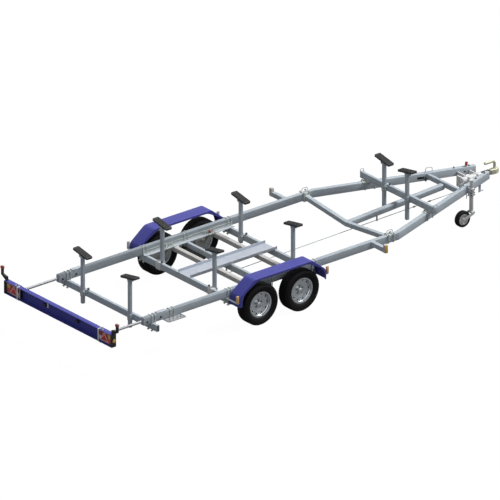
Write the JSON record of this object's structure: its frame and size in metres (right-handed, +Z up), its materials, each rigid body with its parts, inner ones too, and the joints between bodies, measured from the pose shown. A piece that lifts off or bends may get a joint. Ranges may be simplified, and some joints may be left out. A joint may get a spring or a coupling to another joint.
{
  "type": "boat trailer",
  "caption": "Galvanised tandem-axle boat trailer: bent side rails to an overrun coupling, padded posts, keel channel, blue mudguards, sliding light bar and jockey wheel.",
  "frame": {"origin": "on the floor, below the middle of the trailer's length and width", "axes": "+X forward to the coupling, +Y to the left, +Z up"},
  "size_m": [8.155, 2.644, 1.1261],
  "materials": {
    "galvanised": "hot-dip galvanised, satin",
    "axle_grey": "matt zinc-grey",
    "blue_paint": "semi-gloss blue paint",
    "silver_paint": "silver wheel paint",
    "tyre": "black rubber",
    "pad_rubber": "matt black rubber",
    "black_plastic": "black plastic",
    "grey_plastic": "light grey plastic",
    "red_lens": "red lens",
    "amber_lens": "amber lens",
    "red_plastic": "red plastic",
    "zinc_yellow": "yellow-passivated zinc"
  },
  "bodies": {
    "chassis": {"aft_crossbeam": "galvanised", "axle_angle_left": "galvanised", "axle_angle_right": "galvanised", "bellows": "pad_rubber", "brake_rod": "galvanised", "centre_beam": "galvanised", "coupling_handle": "zinc_yellow", "coupling_head": "zinc_yellow", "fore_crossbeam": "galvanised", "front_axle": "axle_grey", "front_crossbeam": "galvanised", "jockey_clamp": "galvanised", "keel_channel": "galvanised", "lashing_eyes": "galvanised", "marker_arms": "galvanised", "mid_crossbeam": "galvanised", "mudguard_left": "blue_paint", "mudguard_right": "blue_paint", "nose_crossbeam": "galvanised", "overrun_housing": "galvanised", "pad_clevises": "galvanised", "post_sleeves": "galvanised", "rail_left": "galvanised", "rail_right": "galvanised", "rear_axle": "axle_grey", "rear_crossbeam": "galvanised", "red_knob": "red_plastic", "side_markers": "amber_lens", "slide_bushes": "galvanised", "socket_bracket": "galvanised", "step_plate": "galvanised", "support_pads": "pad_rubber", "support_posts": "galvanised", "vee_crossmember_left": "galvanised", "vee_crossmember_right": "galvanised", "wiring_duct": "black_plastic"},
    "jockey_leg": {"jockey_tube": "galvanised"},
    "jockey_swivel": {"jockey_fork": "galvanised"},
    "jockey_wheel": {"jockey_rim": "grey_plastic", "jockey_tyre": "tyre"},
    "light_bar": {"light_bar_channel": "blue_paint", "light_bar_tubes": "galvanised", "lamp_holders": "blue_paint", "rear_lamps": "red_lens", "number_plate_lamps": "black_plastic", "light_bar_end_caps": "black_plastic", "outline_marker_arms": "pad_rubber", "outline_marker_lenses": "red_lens"},
    "wheel_front_left": {"tyre_front_left": "tyre", "rim_front_left": "silver_paint"},
    "wheel_front_right": {"tyre_front_right": "tyre", "rim_front_right": "silver_paint"},
    "wheel_rear_left": {"tyre_rear_left": "tyre", "rim_rear_left": "silver_paint"},
    "wheel_rear_right": {"tyre_rear_right": "tyre", "rim_rear_right": "silver_paint"}
  },
  "joints": [
    {"name": "wheel_front_left_spin", "type": "hinge", "parent": "chassis", "child": "wheel_front_left", "pos_m": [-0.5725, 1.128, 0.3145], "axis": [0, 1, 0], "continuous": true},
    {"name": "wheel_front_right_spin", "type": "hinge", "parent": "chassis", "child": "wheel_front_right", "pos_m": [-0.5725, -1.128, 0.3145], "axis": [0, 1, 0], "continuous": true},
    {"name": "wheel_rear_left_spin", "type": "hinge", "parent": "chassis", "child": "wheel_rear_left", "pos_m": [-1.3325, 1.128, 0.3145], "axis": [0, 1, 0], "continuous": true},
    {"name": "wheel_rear_right_spin", "type": "hinge", "parent": "chassis", "child": "wheel_rear_right", "pos_m": [-1.3325, -1.128, 0.3145], "axis": [0, 1, 0], "continuous": true},
    {"name": "jockey_slide", "type": "slide", "parent": "chassis", "child": "jockey_leg", "axis": [0, 0, 1], "range_m": [0, 0.18]},
    {"name": "jockey_steer", "type": "hinge", "parent": "jockey_leg", "child": "jockey_swivel", "pos_m": [3.2345, -0.40201, 0.205], "axis": [0, 0, 1], "continuous": true},
    {"name": "jockey_roll", "type": "hinge", "parent": "jockey_swivel", "child": "jockey_wheel", "pos_m": [3.0695, -0.40201, 0.123], "axis": [0, 1, 0], "continuous": true},
    {"name": "light_bar_slide", "type": "slide", "parent": "chassis", "child": "light_bar", "axis": [1, 0, 0], "range_m": [-0.2, 0.55]}
  ]
}
